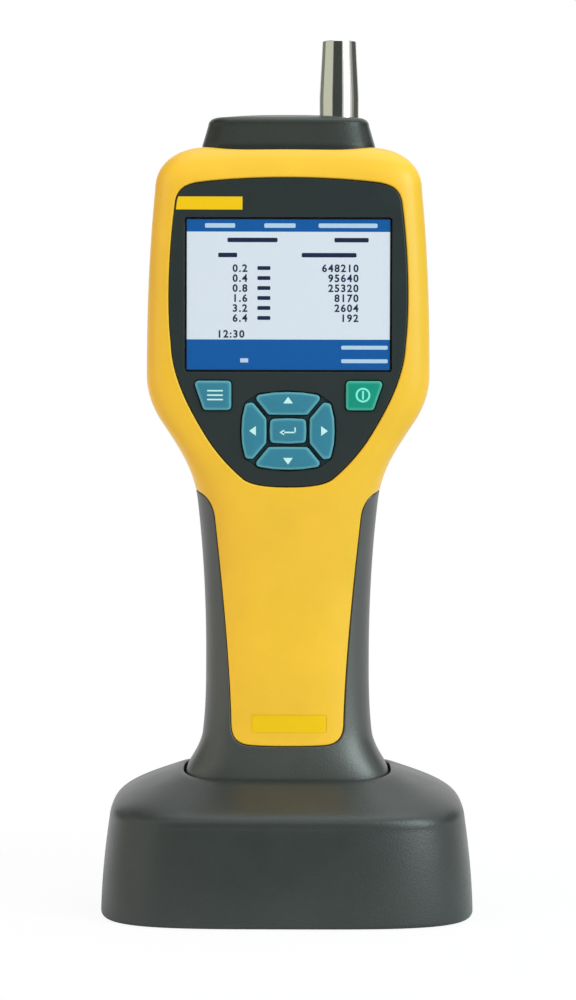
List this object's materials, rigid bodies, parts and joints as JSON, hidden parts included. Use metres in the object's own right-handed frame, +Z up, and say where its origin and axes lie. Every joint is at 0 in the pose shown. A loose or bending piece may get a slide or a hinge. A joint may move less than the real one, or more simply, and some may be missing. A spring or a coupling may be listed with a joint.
{
  "type": "airborne particle counter",
  "caption": "Handheld airborne particle counter with a steel air inlet, a display above its keys and a waisted grip, standing in its charging dock.",
  "frame": {"origin": "on the table under the middle of the dock's footprint", "axes": "+Z up along the instrument, the display faces -Y, +X to the right of someone who reads the display"},
  "size_m": [0.1286, 0.092, 0.301],
  "materials": {
    "yellow_plastic": "fine-textured moulded shell, slightly satin",
    "charcoal_plastic": "fine-textured moulded shell",
    "bezel_plastic": "smooth satin face",
    "window_acrylic": "clear, polished",
    "display_glass": "lit display behind the window",
    "key_rubber": "smooth satin key tops",
    "power_key_rubber": "smooth satin key top",
    "mat_rubber": "smooth",
    "circuit_board": "solder mask",
    "plated_steel": "zinc plated",
    "machined_aluminium": "machined",
    "inlet_steel": "polished and turned",
    "brass_parts": "turned",
    "black_plastic": "moulded",
    "seal_rubber": "plain",
    "hose_silicone": "translucent hose",
    "filter_plastic": "moulded can",
    "battery_sleeve": "shrink sleeve"
  },
  "bodies": {
    "instrument": {"front_housing": "yellow_plastic", "rear_housing": "charcoal_plastic", "top_cap": "charcoal_plastic", "front_bezel": "bezel_plastic", "display_window": "window_acrylic", "display_module": "display_glass", "keypad_mat": "mat_rubber", "key_domes": "plated_steel", "keypad_board": "circuit_board", "keypad_screws": "plated_steel", "main_board": "circuit_board", "board_screws": "plated_steel", "sensor_block": "machined_aluminium", "laser_module": "brass_parts", "light_trap": "black_plastic", "detector_cover": "black_plastic", "inlet_probe": "inlet_steel", "inlet_seal": "seal_rubber", "inlet_fitting": "brass_parts", "sample_hose": "hose_silicone", "blower_body": "charcoal_plastic", "blower_cover": "plated_steel", "blower_motor": "plated_steel", "exhaust_filter": "filter_plastic", "exhaust_hose": "hose_silicone", "battery_pack": "battery_sleeve", "battery_contacts": "brass_parts", "battery_door": "charcoal_plastic", "door_screws": "plated_steel", "housing_screws": "plated_steel", "tripod_insert": "brass_parts", "sounder": "black_plastic", "foot_socket": "black_plastic", "dock_shell": "charcoal_plastic", "dock_base": "charcoal_plastic", "dock_feet": "seal_rubber", "dock_ballast": "plated_steel", "dock_board": "circuit_board", "dock_connector": "black_plastic", "dc_jack": "black_plastic", "network_jack": "plated_steel", "dock_screws": "plated_steel"},
    "key_menu_button": {"key_menu": "key_rubber"},
    "key_power_button": {"key_power": "power_key_rubber"},
    "key_up_button": {"key_up": "key_rubber"},
    "key_down_button": {"key_down": "key_rubber"},
    "key_left_button": {"key_left": "key_rubber"},
    "key_right_button": {"key_right": "key_rubber"},
    "key_enter_button": {"key_enter": "key_rubber"},
    "blower_rotor": {"blower_wheel": "plated_steel"}
  },
  "joints": [
    {"name": "key_menu_press", "type": "slide", "parent": "instrument", "child": "key_menu_button", "axis": [0, 1, 0], "range_m": [0, 0.0009], "stiffness_N_per_m": 1500},
    {"name": "key_power_press", "type": "slide", "parent": "instrument", "child": "key_power_button", "axis": [0, 1, 0], "range_m": [0, 0.0009], "stiffness_N_per_m": 1500},
    {"name": "key_up_press", "type": "slide", "parent": "instrument", "child": "key_up_button", "axis": [0, 1, 0], "range_m": [0, 0.0009], "stiffness_N_per_m": 1500},
    {"name": "key_down_press", "type": "slide", "parent": "instrument", "child": "key_down_button", "axis": [0, 1, 0], "range_m": [0, 0.0009], "stiffness_N_per_m": 1500},
    {"name": "key_left_press", "type": "slide", "parent": "instrument", "child": "key_left_button", "axis": [0, 1, 0], "range_m": [0, 0.0009], "stiffness_N_per_m": 1500},
    {"name": "key_right_press", "type": "slide", "parent": "instrument", "child": "key_right_button", "axis": [0, 1, 0], "range_m": [0, 0.0009], "stiffness_N_per_m": 1500},
    {"name": "key_enter_press", "type": "slide", "parent": "instrument", "child": "key_enter_button", "axis": [0, 1, 0], "range_m": [0, 0.0009], "stiffness_N_per_m": 1500},
    {"name": "blower_spin", "type": "hinge", "parent": "instrument", "child": "blower_rotor", "pos_m": [0.0134, 0, 0.18], "axis": [0, 1, 0], "continuous": true}
  ]
}
